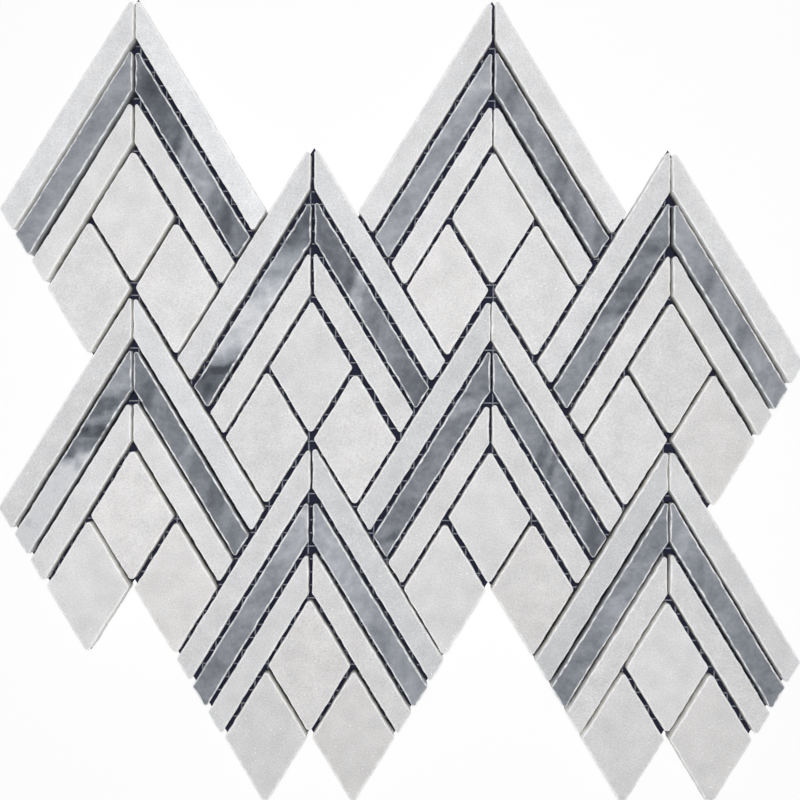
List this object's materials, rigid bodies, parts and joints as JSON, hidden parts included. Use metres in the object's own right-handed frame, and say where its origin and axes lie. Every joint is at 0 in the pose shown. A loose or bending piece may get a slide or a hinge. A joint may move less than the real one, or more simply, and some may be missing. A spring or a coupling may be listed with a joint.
{
  "type": "marble mosaic tile",
  "caption": "Flat mesh-mounted sheet of honed marble in interlocking chevron units: mitred white and grey strips around white diamonds, for tiling walls and floors.",
  "frame": {"origin": "centre of the sheet's bounding box at the underside of the net", "axes": "+Z out of the honed face, +Y towards the chevrons' apexes, +X to the right seen from the honed face"},
  "size_m": [0.3012, 0.3004, 0.01],
  "materials": {
    "white_marble": "honed white marble",
    "grey_marble": "honed blue-grey marble with cloudy bands",
    "net": "pale coated fibreglass yarn"
  },
  "bodies": {
    "root": {"c1r1_outer_white": "white_marble", "c1r1_grey": "grey_marble", "c1r1_inner_white": "white_marble", "c1r1_diamonds": "white_marble", "c1r2_outer_white": "white_marble", "c1r2_grey": "grey_marble", "c1r2_inner_white": "white_marble", "c1r2_diamonds": "white_marble", "c2r1_outer_white": "white_marble", "c2r1_grey": "grey_marble", "c2r1_inner_white": "white_marble", "c2r1_diamonds": "white_marble", "c2r2_outer_white": "white_marble", "c2r2_grey": "grey_marble", "c2r2_inner_white": "white_marble", "c2r2_diamonds": "white_marble", "c3r1_outer_white": "white_marble", "c3r1_grey": "grey_marble", "c3r1_inner_white": "white_marble", "c3r1_diamonds": "white_marble", "c3r2_outer_white": "white_marble", "c3r2_grey": "grey_marble", "c3r2_inner_white": "white_marble", "c3r2_diamonds": "white_marble", "c4r1_outer_white": "white_marble", "c4r1_grey": "grey_marble", "c4r1_inner_white": "white_marble", "c4r1_diamonds": "white_marble", "c4r2_outer_white": "white_marble", "c4r2_grey": "grey_marble", "c4r2_inner_white": "white_marble", "c4r2_diamonds": "white_marble", "net_1": "net", "net_2": "net", "net_3": "net", "net_4": "net"}
  },
  "joints": []
}
